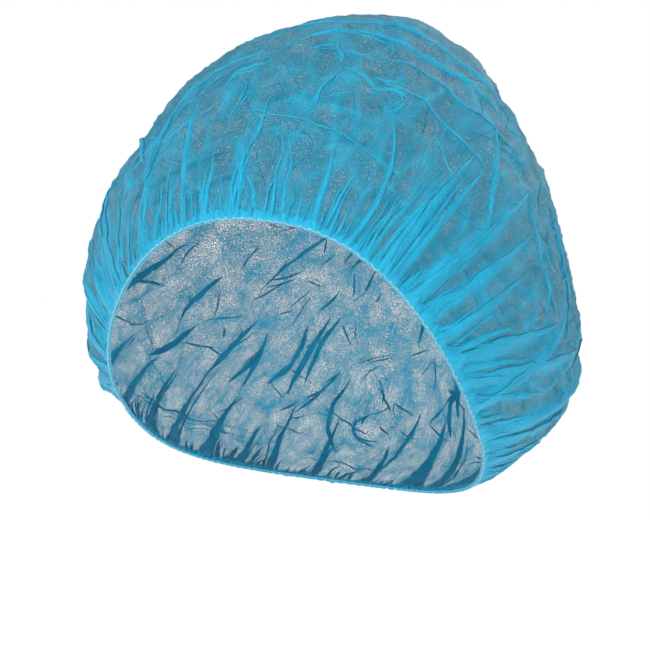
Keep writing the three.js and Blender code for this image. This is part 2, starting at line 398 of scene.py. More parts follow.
def tuck_line(knots, step=1.8, wander=0.55):
    """Even points along a tuck, in radians and shares: straight runs between the knots."""
    knots = np.array(knots, float)
    chord = np.linalg.norm(np.diff(smooth_point(np.radians(knots[:, 0]), knots[:, 1]), axis=0), axis=-1)
    run = np.concatenate([[0], np.cumsum(chord)])
    along = np.linspace(0, run[-1], max(6, int(run[-1] / step)))
    rounding = np.array([1, 2, 3, 2, 1]) / 9
    angles = np.interp(along, run, knots[:, 0])
    shares = np.interp(along, run, knots[:, 1])
    angles[2:-2] = np.convolve(angles, rounding, "valid")
    shares[2:-2] = np.convolve(shares, rounding, "valid")
    places = np.stack([along / 9, knots[0, 0] + 0 * along, 10 * knots[0, 1] + 0 * along], -1)
    angles += wander * noise_values(places)
    shares += 0.006 * wander * noise_values(places + 5.5)
    return np.radians(angles), np.clip(shares, 0.01, 0.97)


TUCK_LINES = [(0.85 * width, side, *tuck_line(knots)) for width, side, knots in CROWN_TUCKS]


def tuck_relief(points):
    """A sharp low ridge along every crown tuck, from the distance to its line in mm."""
    rise_mm = np.zeros(points.shape[:-1])
    bunch = np.zeros(points.shape[:-1])
    for width, _, angles, shares in TUCK_LINES:
        line = smooth_point(angles, shares)
        near = np.abs(points - line.mean(0)).max(-1) < np.ptp(line, axis=0).max() / 2 + 12
        spots = points[near]
        gap = np.full(len(spots), 1e9)
        fade = np.zeros(len(spots))
        for k, (start, end) in enumerate(zip(line[:-1], line[1:])):
            step = end - start
            along = np.clip((spots - start) @ step / (step @ step), 0, 1)
            reach = np.linalg.norm(spots - start - along[:, None] * step, axis=-1)
            closer = reach < gap
            gap = np.where(closer, reach, gap)
            fade = np.where(closer, np.sin(math.pi * (k + along) / (len(line) - 1)), fade)
        ridge = TUCK_RIDGE * width * np.exp(-gap / (0.8 * width))
        hollow = TUCK_HOLLOW * width * np.exp(-((gap / HOLLOW_REACH) ** 2))
        fade = np.clip(fade, 0, 1) ** 0.6
        rise_mm[near] += (ridge - hollow) * fade
        bunch[near] = np.maximum(bunch[near], fade * np.exp(-gap / (0.9 * width)))
    return rise_mm, bunch


# %% [markdown]
# The gathered part has wrinkles that run up from the edge. Towards the apex they give way
# to a crumple that has no direction. Both are added to the puff, the gathers, the pleats
# and the tucks.

# %% The whole relief


def relief_ring(angle, share):
    """How far the cloth stands off the bag in mm, and a mark from 0 to 1 for how bunched it is, with painted
    highlight along the crumple lines and wrinkle crests.
    """
    up_mm = share * meridian_length(angle)
    far = np.clip(up_mm / CRUSH_START, 0, 1)
    place_on = smooth_point(angle, share)
    gathered_part = np.clip((0.8 - share) / 0.4, 0, 1)
    pulled = 1 - 2.2 * np.abs(noise_values(wrapped(angle, share, 9.0, 5.0)))
    crushed = 1 - 2.2 * np.abs(noise_values(place_on / 17))
    long_wrinkle = pulled * gathered_part + crushed * (1 - gathered_part)
    pulled = 1 - 2.2 * np.abs(noise_values(wrapped(angle, share, 26.0, 13.0) + 7.3))
    crushed = 1 - 2.2 * np.abs(noise_values(place_on / 6 + 7.3))
    fine_wrinkle = pulled * gathered_part + crushed * (1 - gathered_part)
    middles, borders = cells(place_on / CELL_SIZE + 3.1)
    crumple = np.exp(-borders / 0.10)
    puff = PUFF * np.sin(math.pi * np.clip(up_mm / PUFF_REACH, 0, 1)) ** 0.8
    drift = 3 * noise_values(wrapped(angle, share * 0, 8.0, 1.0))
    gathered = GATHER * np.sin(angle * GATHERS_AROUND + drift) * np.exp(-up_mm / GATHER_REACH)
    crush = far * (1.4 * long_wrinkle + 0.4 * fine_wrinkle + 1.2 * crumple + 2.2 * (0.5 - middles) - 1.3)
    pleated, pleat_bunch = pleat_relief(angle, share)
    tucked, tuck_bunch = tuck_relief(place_on)
    rise_mm = puff + gathered + crush + pleated + tucked
    # Crumple lines and wrinkle crests raise the mark: partly fibre crushed there, partly painted highlight
    # that draws the relief as brighter, deeper cyan.
    crease_density_and_painted_highlight = far * (0.5 * crumple + 0.4 * np.clip(long_wrinkle - 0.55, 0, 1) / 0.45)
    bunch = np.maximum.reduce([pleat_bunch * 0.7, tuck_bunch * 0.8, crease_density_and_painted_highlight, np.exp(-up_mm / 6)])
    return rise_mm, bunch


# %% [markdown]
# The relief is worked out once, on the rows and columns of the sheet, and kept as a table.
# Everything that lies on the cloth reads the table between its rows, so a pleat never
# sinks through the sheet that it lies on.

# %% Relief table
AROUND = 640
LOWER_ROWS, UPPER_ROWS = 66, 58
HALF_WAY = 0.5
HEM_TOP = 1.6
first_share = HEM_TOP / meridian_length(np.zeros(1))[0]
lower = first_share + (HALF_WAY - first_share) * np.linspace(0, 1, LOWER_ROWS) ** 1.25
upper = HALF_WAY + (1 - HALF_WAY) * np.linspace(0, 1, UPPER_ROWS + 2)[1:]
ROW_SHARES = np.concatenate([[0.0], lower, upper])
column_angles = np.linspace(0, 2 * math.pi, AROUND, endpoint=False)
made_rows = [relief_ring(column_angles, np.full(AROUND, share)) for share in ROW_SHARES]
RISE_TABLE = np.array([rise_mm for rise_mm, _ in made_rows])
BUNCH_AND_PAINTED_HIGHLIGHT_TABLE = np.array([bunch for _, bunch in made_rows])
RISE_TABLE[-1] = RISE_TABLE[-1].mean()
print("relief from", RISE_TABLE.min().round(1), "to", RISE_TABLE.max().round(1), "mm")


def read_table(table, angle, share):
    row = np.interp(share, ROW_SHARES, np.arange(len(ROW_SHARES)))
    column = (angle / (2 * math.pi) * AROUND) % AROUND
    low = np.minimum(row.astype(int), len(ROW_SHARES) - 2)
    near = column.astype(int) % AROUND
    far = (near + 1) % AROUND
    row, column = row - low, column - np.floor(column)
    below = table[low, near] * (1 - column) + table[low, far] * column
    above = table[low + 1, near] * (1 - column) + table[low + 1, far] * column
    return below * (1 - row) + above * row


def cloth_point(angle, share, proud=0.0):
    """The cloth with its folds, in mm, moved out by proud."""
    _, _, normal = slopes(angle, share)
    return smooth_point(angle, share) + normal * (read_table(RISE_TABLE, angle, share) + proud)[..., None]


# %% [markdown]
# ## The crown
# The crown is one sheet. A grid of angles and shares covers it, twice as fine round the
# lower half as over the top. Pleats and tucks are strips of the same mesh: each is a narrow
# band that leaves the sheet at its root, runs out to the fold's edge and comes back below.
# So the cloth really lies in three layers there, and the light has to pass all three.

# %% Grid helpers
FLAT_DIAMETER = 0.457


def flat_place(angle, share):
    """Where a point lay on the flat disc, in metres."""
    radius = FLAT_DIAMETER / 2 * (1 - share)
    return np.stack([radius * np.cos(angle), radius * np.sin(angle)], -1)


def grain_place(angle, share):
    """A place in mm whose last part runs up the cloth, with no seam round the cap."""
    up_mm = share * meridian_length(angle)
    reach = 90 * np.clip((1 - share) / 0.5, 0, 1)
    return np.stack([reach * np.cos(angle), reach * np.sin(angle), up_mm], -1)


class Sheet:
    """A piece's points and faces, and what its cloth is like at each point."""

    def __init__(self):
        self.points, self.flat, self.grain, self.bunch, self.faces = [], [], [], [], []
        self.count = 0

    def add(self, points, angle, share, bunch, shift=0.0):
        self.points.append(points.reshape(-1, 3))
        self.flat.append(flat_place(angle, share).reshape(-1, 2) + shift)
        self.grain.append(grain_place(angle, share).reshape(-1, 3) + 40 * shift)
        self.bunch.append(np.broadcast_to(bunch, points.shape[:-1]).ravel())
        first = self.count
        self.count += len(self.points[-1])
        return first

    def join(self, low, high, count, outward=True):
        """Faces between two rings of points, turned round from the same corner if need be."""
        for k in range(count):
            after = (k + 1) % count
            face = (low + k, low + after, high + after, high + k)
            self.faces.append(face if outward else (face[0], *face[:0:-1]))

    def make(self, name, material):
        mesh = bpy.data.meshes.new(name)
        points = np.concatenate(self.points) * MM
        mesh.from_pydata(points.tolist(), [], self.faces)
        uv = mesh.uv_layers.new(name="cloth")
        corners = np.empty(len(mesh.loops), dtype=np.int32)
        mesh.loops.foreach_get("vertex_index", corners)
        uv.uv.foreach_set("vector", np.concatenate(self.flat)[corners].astype(np.float32).ravel())
        grain = mesh.attributes.new("grain", "FLOAT_VECTOR", "POINT")
        grain.data.foreach_set("vector", np.concatenate(self.grain).astype(np.float32).ravel())
        bunch = mesh.attributes.new("bunch", "FLOAT", "POINT")
        bunch.data.foreach_set("value", np.concatenate(self.bunch).astype(np.float32))
        mesh.shade_smooth()
        mesh.materials.append(material)
        piece = bpy.data.objects.new(name, mesh)
        bpy.context.scene.collection.objects.link(piece)
        print(name, len(mesh.vertices), "points", sum(len(face) - 2 for face in self.faces), "triangles")
        return piece


# %% [markdown]
# ## Shader sums
# Materials need sums such as a mask times a strength. A small class wraps a socket and
# overloads Python's operators, so that a sum in a material reads as a sum.

# %% Shader helpers


class Channel:
    """A socket that can be added, multiplied and mixed like a number."""

    def __init__(self, tree, socket):
        self.tree, self.socket = tree, socket

    def maths(self, operation, *values, clamp=False):
        made = self.tree.nodes.new("ShaderNodeMath")
        made.operation = operation
        made.use_clamp = clamp
        for slot, value in zip(made.inputs, values):
            feed(self.tree, slot, value)
        return Channel(self.tree, made.outputs[0])

    def __add__(self, other):
        return self.maths("ADD", self, other)

    def __sub__(self, other):
        return self.maths("SUBTRACT", self, other)

    def __rsub__(self, other):
        return self.maths("SUBTRACT", other, self)

    def __mul__(self, other):
        return self.maths("MULTIPLY", self, other)

    __radd__ = __add__
    __rmul__ = __mul__

    def magnitude(self):
        return self.maths("ABSOLUTE", self)

    def clamped(self):
        return self.maths("ADD", self, 0.0, clamp=True)


def feed(tree, slot, value):
    if isinstance(value, Channel):
        tree.links.new(value.socket, slot)
    else:
        slot.default_value = value


class Finish:
    """A material's node tree, with one method that adds any node."""

    def __init__(self, name):
        self.material = bpy.data.materials.new(name)
        self.material.use_nodes = True
        self.tree = self.material.node_tree
        self.tree.nodes.clear()

    def node(self, kind, output=0, settings=(), **values):
        made = self.tree.nodes.new(kind)
        for name, value in dict(settings).items():
            setattr(made, name, value)
        for name, value in values.items():
            # Vector Math calls both of its inputs Vector, so its second one goes by number.
            slot = 1 if name == "Second" else name.replace("_", " ")
            feed(self.tree, made.inputs[slot], value)
        return Channel(self.tree, made.outputs[output])

    def ramp(self, value, stops):
        made = self.tree.nodes.new("ShaderNodeValToRGB")
        elements = made.color_ramp.elements
        while len(elements) < len(stops):
            elements.new(0.5)
        for element, (position, shade) in zip(elements, stops):
            element.position = position
            element.color = (*shade, 1) if isinstance(shade, tuple) else (shade, shade, shade, 1)
        feed(self.tree, made.inputs[0], value)
        return Channel(self.tree, made.outputs[0])

    def mixed(self, factor, first, second):
        made = self.tree.nodes.new("ShaderNodeMixShader")
        for slot, value in zip(made.inputs, (factor, first, second)):
            feed(self.tree, slot, value)
        return Channel(self.tree, made.outputs[0])

    def done(self, shader):
        output = self.tree.nodes.new("ShaderNodeOutputMaterial")
        feed(self.tree, output.inputs[0], shader)
        return self.material


# %% [markdown]
# ## Non-woven cloth
# Spunbond cloth is a web of fine fibres, pressed together at tiny points. One layer lets
# part of the light by, unevenly, because its fibres are spread in clouds. The material
# reads the flat disc's coordinates, so the web follows every fold. A mask decides between
# clear gaps and fibre, and the fibre is part matt surface and part glowing through.

# %% Non-woven material
WEB_SCALE, FIBRE_SCALE, CLOUD_SCALE = 1900.0, 640.0, 80.0


def nonwoven(name, coverage, deep, pale, glow):
    finish = Finish(name)
    flat = finish.node("ShaderNodeTexCoord", "UV")
    grain = finish.node("ShaderNodeAttribute", "Vector", {"attribute_name": "grain"})
    bunch = finish.node("ShaderNodeAttribute", "Fac", {"attribute_name": "bunch"})
    web = finish.node("ShaderNodeTexNoise", "Fac", Vector=flat, Scale=WEB_SCALE, Detail=2.0, Roughness=0.6)
    cloud = finish.node(
        "ShaderNodeTexNoise", "Fac", Vector=flat, Scale=CLOUD_SCALE, Detail=3.0, Roughness=0.6
    )
    fibre = finish.node(
        "ShaderNodeTexNoise",
        "Fac",
        Vector=flat,
        Scale=FIBRE_SCALE,
        Detail=3.0,
        Roughness=0.65,
        Distortion=1.5,
    )
    strands = (1 - (fibre - 0.5).magnitude() * 14.0).clamped()
    stretched = finish.node(
        "ShaderNodeVectorMath", "Vector", {"operation": "MULTIPLY"}, Vector=grain, Second=(0.42, 0.42, 0.05)
    )
    pulled = finish.node(
        "ShaderNodeTexNoise", "Fac", Vector=stretched, Scale=1.0, Detail=2.0, Roughness=0.5, Distortion=0.6
    )
    pulls = (1 - (pulled - 0.5).magnitude() * 26.0).clamped()
    crossed = finish.node("ShaderNodeTexNoise", "Fac", Vector=grain, Scale=0.07, Detail=3.0, Distortion=1.2)
    creases = (1 - (crossed - 0.5).magnitude() * 48.0).clamped()
    fold_lines = pulls * 0.55 + creases * 0.5
    cover = (web - 0.5) * 4.4 + strands * 0.3 + (cloud - 0.5) * 0.9 + fold_lines * 0.4 + bunch * 0.5
    cover = (cover + coverage).clamped()
    # Colour runs from pale to deep, bright cyan with cover, cloud and the bunch mark: stacked layers and the
    # hem are really deeper, and on fold strips and crests the extra brightness is also painted highlight.
    depth = cover * 0.6 + cloud * 0.3 + bunch * 0.25
    colour = finish.ramp(depth, [(0.42, pale), (1.0, deep)])
    height = web * 0.5 + strands * 0.3 + fold_lines * 1.6
    bump = finish.node("ShaderNodeBump", "Normal", Strength=0.5, Distance=0.0003, Height=height)
    surface = finish.node("ShaderNodeBsdfPrincipled", "BSDF", Base_Color=colour, Roughness=0.6, Normal=bump)
    surface.socket.node.inputs["Specular IOR Level"].default_value = 0.35
    surface.socket.node.inputs["Sheen Weight"].default_value = 0.15
    through = finish.node("ShaderNodeBsdfTranslucent", "BSDF", Color=(*glow, 1), Normal=bump)
    fibres = finish.mixed((bunch * -0.28 + 0.42).clamped(), surface, through)
    clear = finish.node("ShaderNodeBsdfTransparent", "BSDF")
    return finish.done(finish.mixed(cover, clear, fibres))


# %% [markdown]
# The cloth is one cyan. Bunched layers look deep and bright, a single layer pale and dull; the brightness of
# folds and crests is partly painted highlight.
# The hem is the same cloth, closed up by its gathers.

# %% Cloth of the crown and the hem
DEEP_CYAN, PALE_CYAN, GLOW_CYAN = (0.003, 0.44, 0.70), (0.010, 0.09, 0.13), (0.004, 0.28, 0.40)
CROWN_CLOTH = nonwoven("crown_nonwoven", 0.63, DEEP_CYAN, PALE_CYAN, GLOW_CYAN)
HEM_CLOTH = nonwoven("hem_nonwoven", 0.85, DEEP_CYAN, PALE_CYAN, GLOW_CYAN)

print("cloths", CROWN_CLOTH.name, HEM_CLOTH.name)

# %% [markdown]
# The sheet is built ring by ring from the hem up. Half way, a ring has half the points of
# the one below, so that the mesh doesn't crowd towards the apex, and a fan closes the top.

# %% Crown sheet
crown_sheet = Sheet()


def ring(share, count):
    angles = np.linspace(0, 2 * math.pi, count, endpoint=False)
    shares = np.full(count, share)
    bunch = read_table(BUNCH_AND_PAINTED_HIGHLIGHT_TABLE, angles, shares)
    return crown_sheet.add(cloth_point(angles, shares), angles, shares, bunch)


def join_halved(low, high, count):
    """Rings where the upper has half as many points as the lower."""
    for k in range(count // 2):
        near, far = 2 * k, (2 * k + 2) % count
        after = (k + 1) % (count // 2)
        crown_sheet.faces.append((low + near, low + near + 1, high + k))
        crown_sheet.faces.append((low + near + 1, high + after, high + k))
        crown_sheet.faces.append((low + near + 1, low + far, high + after))


rings = [ring(share, AROUND) for share in lower]
for low, high in zip(rings[:-1], rings[1:]):
    crown_sheet.join(low, high, AROUND)
tops = [ring(share, AROUND // 2) for share in upper[:-1]]
join_halved(rings[-1], tops[0], AROUND)
for low, high in zip(tops[:-1], tops[1:]):
    crown_sheet.join(low, high, AROUND // 2)
apex_angle, apex_share = np.zeros(1), np.full(1, 0.9999)
apex = crown_sheet.add(cloth_point(apex_angle, apex_share), apex_angle, apex_share, 0.5)
for k in range(AROUND // 2):
    crown_sheet.faces.append((tops[-1] + k, tops[-1] + (k + 1) % (AROUND // 2), apex))
print("sheet", crown_sheet.count, "points")

# %% [markdown]
# A fold's strip is drawn by its cross-section, with places across in shares of the width
# and heights in layers: out from the root along the top layer, round the fold's edge, and
# back under it. Steps across the sheet are turned into steps of angle and share by the
# bag's own slopes, so that the strip lies on the cloth whichever way it runs.

# %% Fold strips
LAYER = 0.34
FOLD_SECTION = np.array(
    [(-0.5, 0.3), (-0.3, 1.5), (0.05, 2.0), (0.38, 1.9), (0.5, 1.4), (0.4, 0.95), (0.0, 0.8), (-0.42, 0.5)]
)
CREASE_SECTION = np.array([(-0.5, 0.2), (-0.1, 1.6), (0.45, 1.8), (0.5, 0.9), (-0.3, 0.4)])


def add_fold(sheet, angles, shares, widths, side, layer=LAYER, section=FOLD_SECTION):
    line = smooth_point(angles, shares)
    ahead = np.gradient(line, axis=0)
    ahead /= np.linalg.norm(ahead, axis=-1)[:, None]
    around, along, normal = slopes(angles, shares)
    across = np.cross(normal, ahead) * side
    aa, ab, bb = (around * around).sum(-1), (around * along).sum(-1), (along * along).sum(-1)
    ac, bc = (around * across).sum(-1), (along * across).sum(-1)
    spread = aa * bb - ab * ab
    angle_step, share_step = (ac * bb - bc * ab) / spread, (bc * aa - ac * ab) / spread
    places, heights = section.T
    shift = widths[:, None] * places[None, :]
    angle_grid = angles[:, None] + shift * angle_step[:, None]
    share_grid = np.maximum(shares[:, None] + shift * share_step[:, None], 0.002)
    thin = np.clip(widths / 1.2, 0.15, 1)[:, None]
    points = cloth_point(angle_grid, share_grid, layer * heights[None, :] * thin)
    # Fold strips get a high bunch mark: their layers are real, and the bright deep cyan it gives them is
    # partly painted highlight.
    first = sheet.add(points, angle_grid, share_grid, 0.9, shift=0.3)
    columns = len(places)
    for row in range(len(angles) - 1):
        for column in range(columns - 1):
            corner = first + row * columns + column
            face = (corner, corner + 1, corner + columns + 1, corner + columns)
            sheet.faces.append(face if side < 0 else face[::-1])


def wavering(angles, shares, amount):
    return 1 + amount * noise_values(wrapped(angles, shares, 14.0, 30.0))


def add_pleat(sheet, pleat, step, layer, section=FOLD_SECTION):
    at, turn, bend, length, width, side = pleat
    run = np.linspace(0, 1, max(6, int(length * meridian_length(math.radians(at)) / step)))
    shares = 0.004 + run * length
    wobble = 1.1 * noise_values(wrapped(np.full(len(run), math.radians(at)), run, 5.0, 4.0)) * run
    angles = np.radians(at + turn * run + bend * run**2 + wobble)
    open_up = 0.75 + 0.5 * np.exp(-run / 0.08) + 0.25 * np.clip(run / 0.25, 0, 1)
    widths = width * open_up * (1 - run) ** 0.8 * wavering(angles, shares, 0.5) + 0.05
    add_fold(sheet, angles, shares, widths, side, layer, section)


# %% [markdown]
# The main pleats and the tucks are part of the crown's own mesh. The lesser pleats lie on
# them, a layer further out, in a second piece, which keeps each mesh small.

# %% Pleats and tucks
for pleat in main_pleats:
    add_pleat(crown_sheet, pleat, 2.4, LAYER)

for width, side, angles, shares in TUCK_LINES:
    run = np.linspace(0, 1, len(angles))
    widths = width * np.sin(math.pi * run) ** 0.7 * wavering(angles, shares, 0.5) + 0.05
    add_fold(crown_sheet, angles, shares, widths, side)

crown = crown_sheet.make("crown_cloth", CROWN_CLOTH)
gather_sheet = Sheet()
for pleat in lesser:
    add_pleat(gather_sheet, pleat, 2.2, 1.7 * LAYER, FOLD_SECTION if pleat[4] > 1.6 else CREASE_SECTION)

# %% [markdown]
# Each tuck has feathery creases beside it, and short creases in all directions lie between.
# They are too narrow to need more than a thin strip, folded once.

# %% Creases
CREASE_COUNT = 260


def add_crease(knots, width, wander):
    angles, shares = tuck_line(knots, 2.4, wander)
    run = np.linspace(0, 1, len(angles))
    widths = width * np.sin(math.pi * run) ** 0.6 * wavering(angles, shares, 0.6) + 0.04
    add_fold(gather_sheet, angles, shares, widths, dice.choice([-1, 1]), LAYER, CREASE_SECTION)


for _, _, angles, shares in TUCK_LINES:
    line = np.stack([np.degrees(angles), shares], -1)
    for _ in range(3):
        start = int(dice.uniform(0, 0.7) * len(line))
        end = min(len(line) - 1, start + max(3, int(dice.uniform(0.15, 0.4) * len(line))))
        leave = np.array([dice.uniform(-2.2, 2.2), dice.uniform(-0.014, 0.014)])
        middle = (line[start] + line[end]) / 2 + leave * 0.3
        knots = [line[start], middle, line[end] + leave][:: dice.choice([-1, 1])]
        add_crease(knots, dice.uniform(0.5, 1.1), 0.8)

for index in range(CREASE_COUNT):
    at, low = 360 * (index + dice.uniform(0, 1)) / CREASE_COUNT, dice.uniform(0.1, 0.82)
    long_mm = dice.uniform(7, 26)
    leaning = dice.normal(0, 0.75)
    climb = long_mm * math.cos(leaning) / 230
    drift = long_mm * math.sin(leaning) / max(0.35, 1.7 * math.sin(math.pi * min(1, 1.1 - low)))
    bend = (at + 0.5 * drift + dice.uniform(-1.2, 1.2), low + 0.5 * climb)
    add_crease([(at, low), bend, (at + drift, min(low + climb, 0.93))], dice.uniform(0.45, 1.0), 1.0)
gathers = gather_sheet.make("crown_gathers", CROWN_CLOTH)
for piece in (crown, gathers):
    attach(piece, "root")
    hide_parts("crown")

# %% [markdown]
# ## The hem
# The edge is turned in and gathered tightly, so it is a narrow band of several layers and
# a deeper blue. Its section is a flat loop, open at the top, whose ripples run right round.
# Its upper border is uneven, because every pleat that starts there pulls the band up.

# %% Hem band
HEM_AROUND = 1100
HEM_HEIGHT = 3.4
HEM_SECTION = [
    (1.0, 0.35),
    (0.8, 0.62),
    (0.45, 0.72),
    (0.12, 0.7),
    (-0.06, 0.35),
    (-0.08, -0.2),
    (0.1, -0.75),
    (0.5, -0.85),
    (0.9, -0.6),
]


def hem_ripple(angle):
    drift = 5 * noise_values(wrapped(angle, angle * 0, 7.0, 1.0))
    return np.sin(angle * 171 + drift) * (0.75 + 0.5 * noise_values(wrapped(angle, angle * 0, 20.0, 1.0) + 4))


hem_sheet = Sheet()
hem_angles = np.linspace(0, 2 * math.pi, HEM_AROUND, endpoint=False)
ripple = hem_ripple(hem_angles)
reach_up = 1 + 0.55 * noise_values(wrapped(hem_angles, hem_angles * 0, 22.0, 1.0) + 9)
roots = np.exp(-((turn_between(np.degrees(hem_angles)[:, None], PLEAT_AT) / (PLEAT_WIDTH * 0.22)) ** 2))
reach_up = reach_up + 0.45 * (roots * PLEAT_WIDTH / 3).max(-1)
hem_shares = HEM_HEIGHT / meridian_length(hem_angles)
hem_rows = []
for up_share, proud in HEM_SECTION:
    lift = up_share * (reach_up if up_share > 0 else 1)
    shares = hem_shares * lift + 0.0012 * ripple * (up_share < 0.3)
    spread = 0.34 * ripple * (1 - 0.4 * abs(up_share))
    _, _, normal = slopes(hem_angles, shares)
    standing = read_table(RISE_TABLE, hem_angles, np.maximum(shares, 0)) * np.clip(up_share, 0, 1)
    points = smooth_point(hem_angles, shares) + normal * (proud + spread + standing)[:, None]
    hem_rows.append(hem_sheet.add(points, hem_angles, shares, 1.0, shift=0.6))
for low, high in zip(hem_rows[:-1], hem_rows[1:]):
    hem_sheet.join(low, high, HEM_AROUND, outward=False)
hem = hem_sheet.make("hem_band", HEM_CLOTH)
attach(hem, "root")
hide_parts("hem")

# %% [markdown]
# ## The elastic and the overlock stitches
# A thin elastic lies in the edge, and pale thread loops over it. The thread shows as a
# row of small scallops along the rim. One scallop is a curve in a Geometry Nodes tree, and
# the tree sets it on every stitch point, turned to the rim by two stored directions.

# %% Elastic and thread materials


def strand_material(name, shade, dark, scale, roughness):
    finish = Finish(name)
    place_on = finish.node("ShaderNodeTexCoord", "Object")
    twist = finish.node("ShaderNodeTexNoise", "Fac", Vector=place_on, Scale=scale, Detail=2.0, Roughness=0.6)
    colour = finish.ramp(twist, [(0.3, dark), (0.65, shade)])
    bump = finish.node("ShaderNodeBump", "Normal", Strength=0.5, Distance=0.0002, Height=twist)
    surface = finish.node(
        "ShaderNodeBsdfPrincipled", "BSDF", Base_Color=colour, Roughness=roughness, Normal=bump
    )
    surface.socket.node.inputs["Subsurface Weight"].default_value = 0.1
    surface.socket.node.inputs["Subsurface Scale"].default_value = 0.0005
    return finish.done(surface)


ELASTIC_COVER = strand_material("elastic_cover", (0.16, 0.42, 0.52), (0.06, 0.28, 0.40), 1800.0, 0.6)
THREAD = strand_material("overlock_thread", (0.66, 0.68, 0.60), (0.36, 0.44, 0.42), 2600.0, 0.7)

print("strands", ELASTIC_COVER.name, THREAD.name)

# %% [markdown]
# The elastic is a tube swept round the edge. It sways a little with the hem's ripples.

# %% Elastic
ELASTIC_RADIUS = 0.24
ELASTIC_SIDES = 8
ELASTIC_AROUND = 720
elastic_sheet = Sheet()
elastic_angles = np.linspace(0, 2 * math.pi, ELASTIC_AROUND, endpoint=False)
_, along, normal = slopes(elastic_angles, np.zeros(ELASTIC_AROUND))
uphill = along / np.linalg.norm(along, axis=-1)[:, None]
weave = 0.12 * hem_ripple(elastic_angles)
middle = opening_edge(elastic_angles) + uphill * (-0.35 + weave)[:, None] - normal * 0.45
elastic_rows = []
for side in range(ELASTIC_SIDES):
    turn = 2 * math.pi * side / ELASTIC_SIDES
    offset = uphill * math.cos(turn) + normal * math.sin(turn)
    points = middle + offset * ELASTIC_RADIUS
    elastic_rows.append(elastic_sheet.add(points, elastic_angles, np.zeros(ELASTIC_AROUND), 0.0))
for low, high in zip(elastic_rows, elastic_rows[1:] + elastic_rows[:1]):
    elastic_sheet.join(low, high, ELASTIC_AROUND, outward=False)
elastic = elastic_sheet.make("elastic_cord", ELASTIC_COVER)
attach(elastic, "root")
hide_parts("elastic")

# %% [markdown]
# The tree sets one scallop and its short tack on each point, makes them real mesh and
# gives them the thread. Every size is an input, so the seam could be made finer at once.

# %% Stitch tree
STITCH_PITCH = 3.5
STITCH_SIZES = {"Pitch": STITCH_PITCH * MM, "Dip": 0.30 * MM, "Peak": 0.34 * MM, "Thread": 0.10 * MM}


def stitch_tree():
    tree = bpy.data.node_groups.new("overlock", "GeometryNodeTree")
    tree.interface.new_socket("Geometry", in_out="INPUT", socket_type="NodeSocketGeometry")
    for name, value in STITCH_SIZES.items():
        tree.interface.new_socket(name, in_out="INPUT", socket_type="NodeSocketFloat").default_value = value
    tree.interface.new_socket("Geometry", in_out="OUTPUT", socket_type="NodeSocketGeometry")

    def add(kind, **settings):
        made = tree.nodes.new(kind)
        for name, value in settings.items():
            setattr(made, name, value)
        return made

    def link(source, target):
        tree.links.new(source, target)

    def corner(across, height):
        made = add("ShaderNodeCombineXYZ")
        link(across, made.inputs["X"])
        link(height, made.inputs["Y"])
        return made.outputs[0]

    def times(socket, factor):
        made = add("ShaderNodeMath", operation="MULTIPLY")
        link(socket, made.inputs[0])
        made.inputs[1].default_value = factor
        return made.outputs[0]

    given = add("NodeGroupInput")
    half = times(given.outputs["Pitch"], 0.5)
    scallop = add("GeometryNodeCurveQuadraticBezier")
    scallop.inputs["Resolution"].default_value = 7
    link(corner(times(half, -1), given.outputs["Peak"]), scallop.inputs["Start"])
    link(corner(times(half, 0.15), times(given.outputs["Dip"], -2.4)), scallop.inputs["Middle"])
    link(corner(half, given.outputs["Peak"]), scallop.inputs["End"])
    tack = add("GeometryNodeCurveQuadraticBezier")
    tack.inputs["Resolution"].default_value = 4
    link(corner(half, times(given.outputs["Dip"], -0.4)), tack.inputs["Start"])
    link(corner(times(half, 0.9), given.outputs["Peak"]), tack.inputs["Middle"])
    link(corner(times(half, 0.62), times(given.outputs["Peak"], 2.1)), tack.inputs["End"])
    both = add("GeometryNodeJoinGeometry")
    link(tack.outputs[0], both.inputs[0])
    link(scallop.outputs[0], both.inputs[0])
    profile = add("GeometryNodeCurvePrimitiveCircle")
    profile.inputs["Resolution"].default_value = 6
    link(given.outputs["Thread"], profile.inputs["Radius"])
    sweep = add("GeometryNodeCurveToMesh")
    sweep.inputs["Fill Caps"].default_value = True
    link(both.outputs[0], sweep.inputs["Curve"])
    link(profile.outputs[0], sweep.inputs["Profile Curve"])

    def stored(name):
        made = add("GeometryNodeInputNamedAttribute", data_type="FLOAT_VECTOR")
        made.inputs["Name"].default_value = name
        return made.outputs["Attribute"]

    turned = add("FunctionNodeAxesToRotation", primary_axis="Z", secondary_axis="X")
    link(stored("outward"), turned.inputs["Primary Axis"])
    link(stored("onward"), turned.inputs["Secondary Axis"])
    loose = add("FunctionNodeRandomValue", data_type="FLOAT")
    loose.inputs["Min"].default_value = 0.8
    loose.inputs["Max"].default_value = 1.25
    loose.inputs["Seed"].default_value = 5
    setting = add("GeometryNodeInstanceOnPoints")
    link(given.outputs["Geometry"], setting.inputs["Points"])
    link(sweep.outputs[0], setting.inputs["Instance"])
    link(turned.outputs[0], setting.inputs["Rotation"])
    size = add("ShaderNodeCombineXYZ")
    size.inputs["X"].default_value = size.inputs["Z"].default_value = 1.0
    link(loose.outputs["Value"], size.inputs["Y"])
    link(size.outputs[0], setting.inputs["Scale"])
    real = add("GeometryNodeRealizeInstances")
    link(setting.outputs[0], real.inputs[0])
    finish = add("GeometryNodeSetMaterial")
    finish.inputs["Material"].default_value = THREAD
    link(real.outputs[0], finish.inputs["Geometry"])
    given_out = add("NodeGroupOutput")
    link(finish.outputs[0], given_out.inputs[0])
    return tree


# %% [markdown]
# The stitch points lie evenly along the rim, each a little higher or lower than the next,
# as a fast seam has them. The tree's result is kept as a plain mesh.

